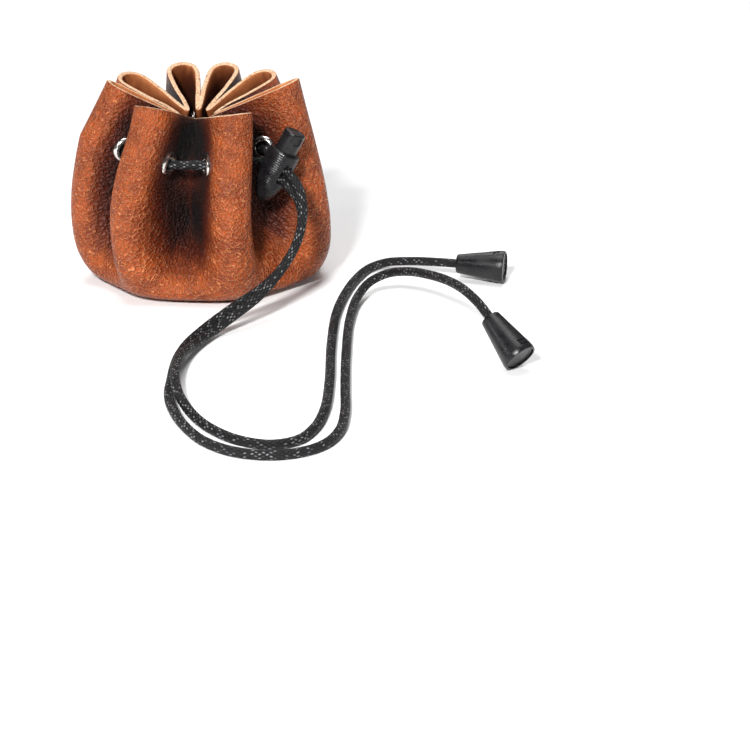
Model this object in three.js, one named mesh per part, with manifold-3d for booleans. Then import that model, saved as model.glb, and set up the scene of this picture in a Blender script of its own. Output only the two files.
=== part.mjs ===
// Drawstring dice bag: one round piece of leather, gathered on a cord that runs through
// sixteen eyelets, with a spring-loaded cord lock and a bell-shaped end on each cord tail.
// Millimetres, +Z up. The bag stands on its flat base at z = 0, and X = Y = 0 is its middle.
import * as THREE from 'three';
import { mergeVertices } from 'three/addons/utils/BufferGeometryUtils.js';
import Module from 'manifold-3d';

const wasm = await Module();
wasm.setup();

// ---- driving dimensions -------------------------------------------------------------

const GAP = 0.3; // clearance between pieces that touch

// The leather is a flat disc before it is gathered. A point of the disc is named by its
// distance from the centre and its angle, and gather() says where that point ends up.
const DISC_RADIUS = 125;
const LEATHER = 2;
const EYELET_CIRCLE = 103; // radius of the ring of eyelets on the flat disc
const FOLDS = 8;
const DISC_START = -22.5; // angle on the disc of the first fold's tip, degrees

// Each outward fold: azimuth of its tip, how far the belly below is turned from it, the
// radius and height of its rim, and two factors of the radius of the valley after it: one at
// the cord, which makes room for the cord lock, and one halfway up the bag.
const FOLD_SHAPES = [
  { azimuth: -17, lean: -2, reach: 42, height: 82, atCord: 1, halfway: 0.92 }, // right
  { azimuth: 42, lean: 0, reach: 38, height: 76, atCord: 1, halfway: 1 }, // right back
  { azimuth: 74, lean: 0, reach: 37, height: 76.5, atCord: 1, halfway: 1 }, // back, right of the middle
  { azimuth: 103, lean: 0, reach: 37, height: 76.5, atCord: 1, halfway: 1 }, // back, left of the middle
  { azimuth: 146, lean: 0, reach: 38, height: 76, atCord: 1, halfway: 0.92 }, // left back
  { azimuth: 200, lean: -2, reach: 35.5, height: 81, atCord: 1, halfway: 0.76 }, // left
  { azimuth: 245, lean: -9, reach: 40, height: 77.5, atCord: 1, halfway: 0.56 }, // left front
  { azimuth: 296, lean: -7, reach: 44, height: 75.5, atCord: 0.92, halfway: 0.85 }, // right front
];
const NECK_SHIFT = -1.9; // the gathered neck is this far from the middle of the base, along X
const LEFT_SIDE = 0.965; // the left half is a little slimmer than the right

// Lines up the leather, as [distance from the disc's centre, radius, height of mid-thickness]:
// one up the tip of a fold, one up the valley between two folds.
const TIP_LINE = [
  [0, 0, 1], [19, 19, 1], [38, 37.6, 1], [48, 47, 4], [59, 52.4, 12.8], [70, 53.8, 24],
  [82, 52.8, 36.5], [93, 50.4, 47.8], [103, 47.8, 57.5], [114, 45, 68], [125, 42.6, 78],
];
const VALLEY_LINE = [
  [0, 0, 1], [19, 19, 1], [38, 37, 1], [48, 45.6, 4.6], [59, 43.4, 14.6], [70, 35.4, 25.2],
  [82, 28.2, 35], [93, 22.6, 43], [103, 17, 50], [114, 11.6, 57], [125, 7.6, 65],
];
const ROWS = TIP_LINE.map(([s]) => s);

// Stations across half a fold, from its tip (0) to the valley (1): how far in towards the
// valley each lies, and its distance from the fold's middle at the eyelets and at the rim.
const STATIONS = [
  { inward: 0, atCord: 0, atRim: 0 },
  { inward: 0.12, atCord: 6.4, atRim: 6.2 },
  { inward: 0.5, atCord: 5.9, atRim: 5.4 },
  { inward: 0.78, atCord: 5.2, atRim: 3.4 },
  { inward: 1 },
];
const EYELET_STATION = 2;
const NARROW_FOLD = 18; // a fold with less than this half angle, in degrees, is pinched
const FOLDED_FROM = 44; // the gathers start here on the disc, and are full at the eyelets
const HALFWAY_FROM = 48; // the halfway factor starts here, is full at the next radius and has
const HALFWAY_FULL = 72; // gone again at the eyelets
const LEAN_FROM = 75; // a leaning fold straightens from here on the disc to the rim
const TURNED_FROM = 15; // the disc turns under the folds between these two radii, because
const TURNED_BY = 70; // the folds aren't evenly spaced

// Eyelet and washer, both turned parts around the eyelet's axis, which points out of the bag.
const BORE = 2.6;
const BARREL = 3.1;
const FLANGE = 5;
const WASHER = 4.6;
const SHEET = 0.45; // eyelet metal
const ROUND = 12; // sides of a small round part

// Cord and cord lock. The lock's frame: "along" is its long axis towards the button, and
// "through" is the way the two cords run out of it.
const CORD = 3.5;
const CORD_SPLIT = 1.9; // each cord's distance from the middle of the lock's slot
const LOCK_CENTRE = new THREE.Vector3(31.1, -31, 51.5);
const LOCK_ALONG = new THREE.Vector3(0.46, 0, 0.89).normalize();
const LOCK_OUT = new THREE.Vector3(0.6, -0.74, 0);
const LOCK_WIDTH = 13;
const LOCK_DEPTH = 12;
const LOCK_TOP = 8;
const LOCK_TIP = -14;
const PLUNGER = 4.3;
const PLUNGER_STROKE = 2.4;
const BUTTON_HEIGHT = 8.4; // how far the button stands out of the lock
const SLOT_WIDTH = CORD + 2 * GAP;
const SLOT_HALF = CORD_SPLIT + CORD / 2 + GAP;
const PLUNGER_FOOT = -SLOT_HALF - 1.5;

// Bells at the cord ends, each with the edge of its wide end just over the floor.
const BELL_LENGTH = 19.5;
const BELL_NARROW = 3.8;
const BELL_WIDE = 6.5;
const BELL_WALL = 1;
const WIDE_EDGES = [[BELL_WIDE, BELL_LENGTH - 1.6], [BELL_WIDE - 0.4, BELL_LENGTH]];
const FLOOR_CLEARANCE = 0.05;
const KNOT = 2.7; // radius of the knot that holds a bell on its cord
const KNOT_PLACE = 7.4; // from the bell's mouth

// Where each bell's mouth is, the way it points and how far its axis dips from there, in
// degrees. The mouth's height follows from the dip.
const BELL_1 = { x: 102, y: -13.3, azimuth: -13, dip: 0 };
const BELL_2 = { x: 110.8, y: -101.5, azimuth: -48, dip: 35 };

// Routes of the two free tails, from where they leave the lock to the mouths of the bells.
// Heights are the cord's own middle. The first tail climbs over the second at the left turn.
const TAIL_1 = [
  [40.3, -44, 46.8], [41.7, -48, 41], [41.1, -51.5, 34.5], [38.9, -54.5, 28], [35.1, -58, 22],
  [30.6, -61.5, 16.6], [25.5, -66, 12], [20.1, -70, 8.6], [14.4, -74.5, 5.6], [9.1, -80, 3.2],
  [5.1, -88, 2.8], [1.7, -98, 3.6], [-0.9, -110, 5.2], [-1.7, -122, 5.6], [-1.1, -134, 5.4],
  [1.7, -146, 3.6], [7.1, -158, 1.9], [14.6, -170, 1.75], [24.1, -179, 1.75], [34.6, -182.5, 1.75],
  [43.1, -179, 1.75], [48.5, -169, 1.75], [51.8, -152, 1.75], [52.9, -128, 1.75],
  [52.9, -92, 1.75], [54.1, -59, 1.75], [57.3, -36, 1.75], [61.5, -18.4, 1.75], [67.1, -5.2, 1.9],
  [74, -0.4, 2.6], [81.8, -3, 4], [89, -8.6, 5.8],
];
const TAIL_2 = [
  [39.6, -42.6, 42.6], [41.1, -45.4, 36.8], [40.2, -47.8, 30.4], [37.4, -50.6, 24],
  [33, -54.4, 18.2], [26.7, -59.5, 13.4], [20, -64.5, 10], [13.7, -69, 7], [7.9, -74, 4.2],
  [3.1, -80.5, 2.2], [-0.1, -89, 1.75], [-2.3, -100, 1.75], [-3.3, -112, 1.75],
  [-3.3, -125, 1.75], [-3.1, -138, 1.75], [-1.1, -150, 1.75], [3.9, -165, 1.75],
  [12.1, -179.5, 1.75], [22.8, -188.3, 1.75], [35, -191, 1.75], [44.9, -188.5, 1.75],
  [52.5, -182, 1.75], [57.1, -171, 1.75], [58.8, -155, 1.75], [58.6, -133, 1.75],
  [58.5, -101.4, 1.75], [59.6, -63.3, 1.9], [62.5, -43.4, 3.6], [67.1, -35.6, 6.6],
  [73.4, -36.9, 10.4], [81.9, -46, 14.6], [90, -59.1, 17.8], [96.5, -72.5, 20.2],
  [102.4, -87, 21.4],
];

// ---- small helpers ------------------------------------------------------------------

const radians = THREE.MathUtils.degToRad;
const mix = THREE.MathUtils.lerp;

// Height and radius between the given points of a line, as one smooth curve.
function onLine(line, s) {
  let i = 0;
  while (i < line.length - 2 && s > line[i + 1][0]) i += 1;
  const [a, b] = [line[i], line[i + 1]];
  const span = b[0] - a[0];
  const t = (s - a[0]) / span;
  const slope = (from, to, column) => ((to[column] - from[column]) / (to[0] - from[0])) * span;
  return [1, 2].map((column) => {
    const before = i > 0 ? slope(line[i - 1], b, column) : b[column] - a[column];
    const after = i < line.length - 2 ? slope(a, line[i + 2], column) : b[column] - a[column];
    const [t2, t3] = [t * t, t * t * t];
    return (2 * t3 - 3 * t2 + 1) * a[column] + (t3 - 2 * t2 + t) * before
      + (3 * t2 - 2 * t3) * b[column] + (t3 - t2) * after;
  });
}

// One shared vertex for each point, and no flat triangles.
function weld(geometry) {
  const plain = geometry.clone();
  plain.deleteAttribute('normal');
  plain.deleteAttribute('uv');
  const merged = mergeVertices(plain, 1e-4);
  const kept = [];
  for (let i = 0; i < merged.index.count; i += 3) {
    const [a, b, c] = [0, 1, 2].map((k) => merged.index.getX(i + k));
    if (a !== b && b !== c && c !== a) kept.push(a, b, c);
  }
  merged.setIndex(kept);
  return merged;
}

function toSolid(geometry) {
  const welded = weld(geometry);
  return new wasm.Manifold(new wasm.Mesh({
    numProp: 3,
    vertProperties: new Float32Array(welded.attributes.position.array),
    triVerts: new Uint32Array(welded.index.array),
  }));
}

function fromSolid(solid) {
  const cut = solid.getMesh();
  const geometry = new THREE.BufferGeometry();
  geometry.setAttribute('position', new THREE.BufferAttribute(cut.vertProperties, 3));
  geometry.setIndex(Array.from(cut.triVerts));
  return geometry;
}

// A turned part. The outline is [radius, height along the axis] pairs, anticlockwise.
function turned(outline, sides, closed = true) {
  const points = outline.map(([r, y]) => new THREE.Vector2(r, y));
  if (closed) points.push(points[0].clone());
  return new THREE.LatheGeometry(points, sides);
}

// The matrix that puts a piece made around the Y axis at a place, with its axis turned.
function placed(origin, axis, sideways) {
  const y = axis.clone().normalize();
  const guide = sideways ?? (Math.abs(y.z) < 0.9 ? new THREE.Vector3(0, 0, 1) : new THREE.Vector3(1, 0, 0));
  const x = guide.clone().addScaledVector(y, -guide.dot(y)).normalize();
  const z = new THREE.Vector3().crossVectors(x, y);
  return new THREE.Matrix4().makeBasis(x, y, z).setPosition(origin);
}

function cordAlong(points, step) {
  const path = new THREE.CatmullRomCurve3(points, false, 'centripetal');
  const section = new THREE.Shape();
  const sides = 8;
  for (let i = 0; i < sides; i += 1) {
    const angle = (2 * Math.PI * i) / sides;
    const [x, y] = [(CORD / 2) * Math.cos(angle), (CORD / 2) * Math.sin(angle)];
    if (i === 0) section.moveTo(x, y);
    else section.lineTo(x, y);
  }
  section.closePath();
  const steps = Math.round(path.getLength() / step);
  return new THREE.ExtrudeGeometry(section, { steps, extrudePath: path, bevelEnabled: false });
}

// ---- materials ----------------------------------------------------------------------

const material = (color, roughness, metalness = 0) =>
  new THREE.MeshStandardMaterial({ color, roughness, metalness });
const TAN_LEATHER = material(0xb5602c, 0.45);
const NICKEL = material(0xc9c6c0, 0.25, 1);
const BLACK_CORD = material(0x17181a, 0.8);
const BLACK_PLASTIC = material(0x232425, 0.5);
const SPRING_STEEL = material(0x9a9a9a, 0.35, 1);

const bag = new THREE.Group();

function add(name, geometry, finish) {
  const mesh = new THREE.Mesh(geometry, finish);
  mesh.name = name;
  bag.add(mesh);
  return mesh;
}

// ---- leather ------------------------------------------------------------------------

const stationCount = 2 * (STATIONS.length - 1);
const ringCache = new Map();

// The closed line that the circle of radius s on the disc turns into.
function gatheredRing(s) {
  if (ringCache.has(s)) return ringCache.get(s);
  const folded = THREE.MathUtils.smoothstep(s, FOLDED_FROM, EYELET_CIRCLE);
  const towardsRim = THREE.MathUtils.clamp((s - EYELET_CIRCLE) / (DISC_RADIUS - EYELET_CIRCLE), 0, 1);
  const risen = THREE.MathUtils.smoothstep(s, LEAN_FROM, DISC_RADIUS);
  const settled = THREE.MathUtils.smoothstep(s, TURNED_FROM, TURNED_BY);
  const halfway = THREE.MathUtils.smoothstep(s, HALFWAY_FROM, HALFWAY_FULL)
    * (1 - THREE.MathUtils.smoothstep(s, HALFWAY_FULL, EYELET_CIRCLE));
  const azimuths = FOLD_SHAPES.map(({ azimuth, lean }) => azimuth + lean * (1 - risen));
  const [tipRadius, tipHeight] = onLine(TIP_LINE, s);
  const [valleyRadius, valleyHeight] = onLine(VALLEY_LINE, s);
  const rim = TIP_LINE[TIP_LINE.length - 1];
  const points = [];
  FOLD_SHAPES.forEach((fold, i) => {
    const azimuth = azimuths[i];
    const before = azimuths[(i + FOLDS - 1) % FOLDS];
    const after = azimuths[(i + 1) % FOLDS];
    const reach = tipRadius + (fold.reach - rim[1]) * folded * towardsRim;
    const height = tipHeight * mix(1, fold.height / rim[2], folded);
    for (let k = -STATIONS.length + 2; k < STATIONS.length; k += 1) {
      const side = Math.sign(k);
      const shape = side < 0 ? FOLD_SHAPES[(i + FOLDS - 1) % FOLDS] : fold;
      const inner = valleyRadius * mix(1, shape.atCord, folded * (1 - towardsRim))
        * mix(1, shape.halfway, halfway);
      const station = STATIONS[Math.abs(k)];
      const turn = side < 0 ? azimuth - before : after - azimuth;
      const halfAngle = (((turn % 360) + 360) % 360) / 2;
      const discAngle = DISC_START + (360 / FOLDS) * (i + k / stationCount);
      const inPlace = azimuth + side * halfAngle * (Math.abs(k) / (STATIONS.length - 1));
      const drift = ((((inPlace - discAngle) % 360) + 540) % 360) - 180;
      const turnedTo = radians(discAngle + drift * settled);
      const wave = (1 - Math.cos((Math.PI * k) / (STATIONS.length - 1))) / 2;
      const radius = mix(tipRadius, inner, wave);
      const smooth = new THREE.Vector3(radius * Math.cos(turnedTo), radius * Math.sin(turnedTo),
        Math.max(LEATHER / 2, mix(height, valleyHeight, wave)));
      const middle = radians(azimuth);
      const folding = smooth.clone();
      if (station.atCord === undefined) {
        const valley = radians(azimuth + side * halfAngle);
        folding.set(inner * Math.cos(valley), inner * Math.sin(valley), valleyHeight);
      } else {
        const pinch = Math.min(1, halfAngle / NARROW_FOLD);
        const across = side * pinch * mix(station.atCord, station.atRim, towardsRim);
        const along = mix(reach, inner * Math.cos(radians(halfAngle)), station.inward);
        folding.set(along * Math.cos(middle) - across * Math.sin(middle),
          along * Math.sin(middle) + across * Math.cos(middle),
          mix(height, valleyHeight, station.inward));
      }
      const point = smooth.lerp(folding, folded);
      point.x += NECK_SHIFT * folded;
      if (point.x < 0) point.x *= LEFT_SIDE;
      points.push(point);
    }
  });
  const ring = new THREE.CatmullRomCurve3(points, true, 'catmullrom', 0.5);
  ringCache.set(s, ring);
  return ring;
}

// Where the point of the disc at radius s and angle (radians) lies in the gathered bag.
function gather(s, angle) {
  const first = radians(DISC_START) - ((STATIONS.length - 2) / stationCount) * ((2 * Math.PI) / FOLDS);
  const turns = (angle - first) / (2 * Math.PI);
  return gatheredRing(s).getPoint(turns - Math.floor(turns));
}

// The leather's direction into the bag, square to the sheet.
function intoBag(s, angle) {
  if (s < 20) return new THREE.Vector3(0, 0, 1);
  const [ds, da] = [0.5, 0.5 / s];
  const outer = Math.min(s + ds, DISC_RADIUS);
  const along = gather(outer, angle).sub(gather(s - ds, angle));
  const around = gather(s, angle + da).sub(gather(s, angle - da));
  return along.cross(around).normalize();
}

// Frames of the sixteen eyelets, in order around the disc: place, and axis out of the bag.
const eyelets = [];
for (let i = 0; i < FOLDS; i += 1) {
  [-1, 1].forEach((side) => {
    const share = i + (side * EYELET_STATION) / stationCount;
    const angle = radians(DISC_START + (360 / FOLDS) * share);
    eyelets.push({
      place: gather(EYELET_CIRCLE, angle),
      axis: intoBag(EYELET_CIRCLE, angle).negate(),
    });
  });
}

function leatherSheet() {
  const half = LEATHER / 2;
  const outside = ROWS.map((s) => [s, -half]);
  const inside = [...ROWS].reverse().map((s) => [s, half]);
  const disc = turned([...outside, ...inside], FOLDS * 12, false);
  const position = disc.attributes.position;
  const point = new THREE.Vector3();
  for (let i = 0; i < position.count; i += 1) {
    point.fromBufferAttribute(position, i);
    const s = Math.round(Math.hypot(point.x, point.z) * 1e3) / 1e3;
    const angle = Math.atan2(-point.z, point.x);
    const gathered = gather(s, angle).addScaledVector(intoBag(s, angle), point.y);
    position.setXYZ(i, gathered.x, gathered.y, gathered.z);
  }
  let sheet = toSolid(disc);
  const seat = turned([
    [0, -half - 3], [WASHER + GAP, -half - 3], [WASHER + GAP, -half], [BARREL + GAP, -half],
    [BARREL + GAP, half], [FLANGE + GAP, half], [FLANGE + GAP, half + 3], [0, half + 3],
  ], ROUND, false);
  eyelets.forEach(({ place, axis }) => {
    sheet = sheet.subtract(toSolid(seat.clone().applyMatrix4(placed(place, axis))));
  });
  return fromSolid(sheet);
}

add('leather_bag', leatherSheet(), TAN_LEATHER);

// ---- eyelets ------------------------------------------------------------------------

const seatFace = LEATHER / 2 + GAP;
const lipFace = -seatFace - SHEET - GAP;
const eyeletShape = turned([
  [BORE, lipFace - SHEET], [BARREL + 0.5, lipFace - SHEET], [BARREL + 0.5, lipFace],
  [BARREL, lipFace], [BARREL, seatFace], [FLANGE, seatFace], [FLANGE - 0.5, seatFace + 0.8],
  [BORE, seatFace + 0.8],
], ROUND);
const washerShape = turned([
  [BARREL + GAP, -seatFace - SHEET], [WASHER, -seatFace - SHEET],
  [WASHER, -seatFace], [BARREL + GAP, -seatFace],
], ROUND);

eyelets.forEach(({ place, axis }, i) => {
  const number = String(i + 1).padStart(2, '0');
  const pose = placed(place, axis);
  add(`eyelet_${number}`, eyeletShape.clone().applyMatrix4(pose), NICKEL);
  add(`eyelet_washer_${number}`, washerShape.clone().applyMatrix4(pose), NICKEL);
});

// ---- cord lock ----------------------------------------------------------------------

const through = LOCK_OUT.clone().addScaledVector(LOCK_ALONG, -LOCK_OUT.dot(LOCK_ALONG)).normalize();
const lockPose = placed(LOCK_CENTRE, LOCK_ALONG, through);
const inLock = (x, y, z = 0) => new THREE.Vector3(x, y, z).applyMatrix4(lockPose);

// A slot that runs along X through the lock, between two heights.
function crossSlot(bottom, top) {
  const slot = new THREE.BoxGeometry(3 * LOCK_WIDTH, top - bottom, SLOT_WIDTH);
  return slot.translate(0, (top + bottom) / 2, 0);
}

function lockBody() {
  const outline = [
    [0, LOCK_TIP], [1.8, LOCK_TIP + 0.3], [3.6, -11.8], [5, -8.8], [5.8, -5.6], [6.1, -2],
    [6.5, 2], [6.4, LOCK_TOP - 0.5], [6, LOCK_TOP], [0, LOCK_TOP],
  ].map(([r, y]) => [r * (LOCK_WIDTH / 13), y]);
  const shell = turned(outline, 20, false).scale(1, 1, LOCK_DEPTH / LOCK_WIDTH);
  const floor = PLUNGER_FOOT - PLUNGER_STROKE - GAP;
  const cavity = turned([
    [0, floor - 2], [2.6, floor - 2], [2.6, floor], [PLUNGER + GAP, floor],
    [PLUNGER + GAP, LOCK_TOP + 1], [0, LOCK_TOP + 1],
  ], 20, false);
  return fromSolid(toSolid(shell).subtract(toSolid(cavity))
    .subtract(toSolid(crossSlot(-SLOT_HALF, SLOT_HALF))));
}

function lockPlunger() {
  const top = LOCK_TOP + BUTTON_HEIGHT;
  const button = turned([
    [0, PLUNGER_FOOT], [PLUNGER, PLUNGER_FOOT], [PLUNGER, top - 0.6],
    [PLUNGER - 0.6, top], [0, top],
  ], 20, false);
  const recess = new THREE.BoxGeometry(1, 3.2, 3).translate(PLUNGER, top - 2.6, 0);
  return fromSolid(toSolid(button)
    .subtract(toSolid(crossSlot(-SLOT_HALF, SLOT_HALF + PLUNGER_STROKE)))
    .subtract(toSolid(recess)));
}

class Coil extends THREE.Curve {
  constructor(radius, bottom, top, turns) {
    super();
    Object.assign(this, { radius, bottom, top, turns });
  }

  getPoint(t, target = new THREE.Vector3()) {
    const angle = 2 * Math.PI * this.turns * t;
    return target.set(this.radius * Math.cos(angle), mix(this.bottom, this.top, t),
      this.radius * Math.sin(angle));
  }
}

function lockSpring() {
  const wire = 0.25;
  const top = PLUNGER_FOOT - GAP - wire;
  const bottom = PLUNGER_FOOT - PLUNGER_STROKE - 2 + wire;
  const section = new THREE.Shape().absarc(0, 0, wire, 0, 2 * Math.PI);
  return new THREE.ExtrudeGeometry(section, {
    steps: 30, extrudePath: new Coil(1.9, bottom, top, 3), bevelEnabled: false, curveSegments: 2,
  });
}

add('cord_lock_body', lockBody().applyMatrix4(lockPose), BLACK_PLASTIC);
add('cord_lock_plunger', lockPlunger().applyMatrix4(lockPose), BLACK_PLASTIC);
add('cord_lock_spring', lockSpring().applyMatrix4(lockPose), SPRING_STEEL);

// ---- drawstring ---------------------------------------------------------------------

// From the lock, once around through all the eyelets, and back to the lock. The last fold's
// second eyelet and the first fold's first eyelet are on either side of the lock.
function drawstringRing() {
  const route = [inLock(-GAP / 2, -CORD_SPLIT), inLock(-6.5, -CORD_SPLIT), inLock(-9.5, -CORD_SPLIT - 0.6)];
  for (let i = eyelets.length - 1; i >= 0; i -= 1) {
    const { place, axis } = eyelets[i];
    const entering = i % 2 === 1 ? 1 : -1;
    const reach = [2.4 * entering, 0, -2.4 * entering];
    reach.forEach((d) => route.push(place.clone().addScaledVector(axis, d)));
  }
  route.push(inLock(-9.5, CORD_SPLIT + 0.6), inLock(-6.5, CORD_SPLIT), inLock(-GAP / 2, CORD_SPLIT));
  return route;
}

add('drawstring_ring', cordAlong(drawstringRing(), 4.2), BLACK_CORD);

// ---- cord tails and bells -----------------------------------------------------------

function bellShell() {
  const [inNarrow, inWide] = [BELL_NARROW - BELL_WALL, BELL_WIDE - BELL_WALL];
  const bore = CORD / 2 + GAP;
  const shell = turned([
    [BELL_NARROW - 0.3, 0], [BELL_NARROW, 0.6], [5, 8.5], ...WIDE_EDGES,
    [inWide, BELL_LENGTH], [inWide - 0.2, BELL_LENGTH - 3],
    [inNarrow + 0.6, 4.6], [bore, 2.4], [bore, 0],
  ], 16);
  const window = new THREE.BoxGeometry(4, 2.4, 3.4).translate(BELL_WIDE, BELL_LENGTH - 3.4, 0);
  return fromSolid(toSolid(shell).subtract(toSolid(window)));
}

function bellLid() {
  const plug = turned([
    [0, BELL_LENGTH - 5], [4.4, BELL_LENGTH - 5], [4.9, BELL_LENGTH - 3.2],
    [BELL_WIDE - BELL_WALL - GAP, BELL_LENGTH - 2], [BELL_WIDE - BELL_WALL - GAP, BELL_LENGTH - 0.5],
    [0, BELL_LENGTH - 0.5],
  ], 16, false);
  const latch = new THREE.BoxGeometry(2.4, 1.7, 2.7).translate(BELL_WIDE - 1.8, BELL_LENGTH - 3.4, 0);
  return fromSolid(toSolid(plug).add(toSolid(latch)));
}

function cordKnot() {
  const knot = new THREE.SphereGeometry(KNOT, 10, 7);
  return knot.scale(1, 0.85, 1).translate(0, KNOT_PLACE, 0);
}

// The lower of the two edges around the bell's wide end stands just clear of the floor.
function bellPose({ x, y, azimuth, dip }) {
  const level = new THREE.Vector3(Math.cos(radians(azimuth)), Math.sin(radians(azimuth)), 0);
  const [down, flat] = [Math.sin(radians(dip)), Math.cos(radians(dip))];
  const axis = level.multiplyScalar(flat).setZ(-down);
  const height = Math.max(...WIDE_EDGES.map(([r, along]) => along * down + r * flat));
  return placed(new THREE.Vector3(x, y, height + FLOOR_CLEARANCE), axis);
}

// A tail runs straight out of the lock, along its route, and into its bell up to the knot.
function addTail(number, split, route, bell) {
  const pose = bellPose(bell);
  const start = [GAP / 2, 6, 11].map((x) => inLock(x, split));
  const end = [-6, -1, KNOT_PLACE - 0.85 * KNOT - GAP]
    .map((y) => new THREE.Vector3(0, y, 0).applyMatrix4(pose));
  const points = [...start, ...route.map((p) => new THREE.Vector3(...p)), ...end];
  add(`cord_tail_${number}`, cordAlong(points, 9), BLACK_CORD);
  add(`bell_shell_${number}`, bellShell().applyMatrix4(pose), BLACK_PLASTIC);
  add(`bell_lid_${number}`, bellLid().applyMatrix4(pose), BLACK_PLASTIC);
  add(`cord_knot_${number}`, cordKnot().applyMatrix4(pose), BLACK_CORD);
}

addTail(1, CORD_SPLIT, TAIL_1, BELL_1);
addTail(2, -CORD_SPLIT, TAIL_2, BELL_2);

export default bag;
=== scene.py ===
"""Looks of the drawstring dice bag, piece by piece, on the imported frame.

The bag is a round sheet of leather, gathered on a braided cord that runs through sixteen
eyelets, with a cord lock and two bell-shaped cord ends. Shapes are worked out in
millimetres and written to Blender in metres, +Z up, with the bag standing on z = 0.
"""

import math

import bmesh
import bpy
import numpy as np
from mathutils import Matrix, Vector, noise
from mathutils.bvhtree import BVHTree


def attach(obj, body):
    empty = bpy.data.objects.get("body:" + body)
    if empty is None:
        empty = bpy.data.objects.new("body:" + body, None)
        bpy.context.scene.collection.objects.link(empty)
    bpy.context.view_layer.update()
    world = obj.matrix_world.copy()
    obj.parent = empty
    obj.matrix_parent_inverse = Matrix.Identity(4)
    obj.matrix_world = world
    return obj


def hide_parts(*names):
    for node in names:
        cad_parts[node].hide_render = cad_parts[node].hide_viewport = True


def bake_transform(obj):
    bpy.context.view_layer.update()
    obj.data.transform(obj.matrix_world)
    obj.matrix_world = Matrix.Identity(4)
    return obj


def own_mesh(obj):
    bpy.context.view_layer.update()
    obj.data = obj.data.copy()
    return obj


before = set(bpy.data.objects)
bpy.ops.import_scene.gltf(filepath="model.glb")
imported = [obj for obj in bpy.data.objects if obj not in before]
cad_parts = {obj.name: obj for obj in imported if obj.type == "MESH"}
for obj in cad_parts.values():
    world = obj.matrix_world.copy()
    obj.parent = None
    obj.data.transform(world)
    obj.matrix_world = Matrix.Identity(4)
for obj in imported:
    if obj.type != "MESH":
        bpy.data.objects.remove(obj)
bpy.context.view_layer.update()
MM = 0.001

# ---- camera --------------------------------------------------------------------------

PITCH = math.radians(22)
camera_data = bpy.data.cameras.new("camera")
camera_data.sensor_width = 36
camera_data.lens = 105.84
camera_data.clip_end = 20
camera = bpy.data.objects.new("camera", camera_data)
camera.location = (0.0691, -0.85083, 0.29665)
camera.rotation_euler = (math.pi / 2 - PITCH, 0, 0)
bpy.context.scene.collection.objects.link(camera)
bpy.context.scene.camera = camera

# ---- sizes, in millimetres, the same as the solids ---------------------------------------

CORD = 3.5
CORD_SPLIT = 1.9
GAP = 0.3

LOCK_CENTRE = Vector((31.1, -31, 51.5))
LOCK_ALONG = Vector((0.46, 0, 0.89)).normalized()
LOCK_OUT = Vector((0.6, -0.74, 0))
LOCK_WIDTH = 13
LOCK_DEPTH = 12
LOCK_TOP = 8
LOCK_SLIDE = 8  # how far the lock slides out along the cords
SLOT_HALF = CORD_SPLIT + CORD / 2 + GAP
SLOT_WIDTH = CORD + 2 * GAP
PLUNGER = 4.3
PLUNGER_STROKE = 2.4
BUTTON_HEIGHT = 8.4
PLUNGER_FOOT = -SLOT_HALF - 1.5
SPRING_SEAT = PLUNGER_FOOT - PLUNGER_STROKE - GAP - 2  # the bottom of the spring's recess

KNOT = 2.7
KNOT_PLACE = 7.4
BELL_1 = {"x": 102, "y": -13.3, "azimuth": -13, "dip": 0}
BELL_2 = {"x": 110.8, "y": -101.5, "azimuth": -48, "dip": 35}
WIDE_EDGES = ((6.5, 17.9), (6.1, 19.5))
FLOOR_CLEARANCE = 0.05

TAIL_1 = [
    (40.3, -44, 46.8), (41.7, -48, 41), (41.1, -51.5, 34.5), (38.9, -54.5, 28), (35.1, -58, 22),
    (30.6, -61.5, 16.6), (25.5, -66, 12), (20.1, -70, 8.6), (14.4, -74.5, 5.6), (9.1, -80, 3.2),
    (5.1, -88, 2.8), (1.7, -98, 3.6), (-0.9, -110, 5.2), (-1.7, -122, 5.6), (-1.1, -134, 5.4),
    (1.7, -146, 3.6), (7.1, -158, 1.9), (14.6, -170, 1.75), (24.1, -179, 1.75),
    (34.6, -182.5, 1.75), (43.1, -179, 1.75), (48.5, -169, 1.75), (51.8, -152, 1.75),
    (52.9, -128, 1.75), (52.9, -92, 1.75), (54.1, -59, 1.75), (57.3, -36, 1.75),
    (61.5, -18.4, 1.75), (67.1, -5.2, 1.9), (74, -0.4, 2.6), (81.8, -3, 4), (89, -8.6, 5.8),
]
TAIL_2 = [
    (39.6, -42.6, 42.6), (41.1, -45.4, 36.8), (40.2, -47.8, 30.4), (37.4, -50.6, 24),
    (33, -54.4, 18.2), (26.7, -59.5, 13.4), (20, -64.5, 10), (13.7, -69, 7), (7.9, -74, 4.2),
    (3.1, -80.5, 2.2), (-0.1, -89, 1.75), (-2.3, -100, 1.75), (-3.3, -112, 1.75),
    (-3.3, -125, 1.75), (-3.1, -138, 1.75), (-1.1, -150, 1.75), (3.9, -165, 1.75),
    (12.1, -179.5, 1.75), (22.8, -188.3, 1.75), (35, -191, 1.75), (44.9, -188.5, 1.75),
    (52.5, -182, 1.75), (57.1, -171, 1.75), (58.8, -155, 1.75), (58.6, -133, 1.75),
    (58.5, -101.4, 1.75), (59.6, -63.3, 1.9), (62.5, -43.4, 3.6), (67.1, -35.6, 6.6),
    (73.4, -36.9, 10.4), (81.9, -46, 14.6), (90, -59.1, 17.8), (96.5, -72.5, 20.2),
    (102.4, -87, 21.4),
]

# ---- mesh helpers ----------------------------------------------------------------------


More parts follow.
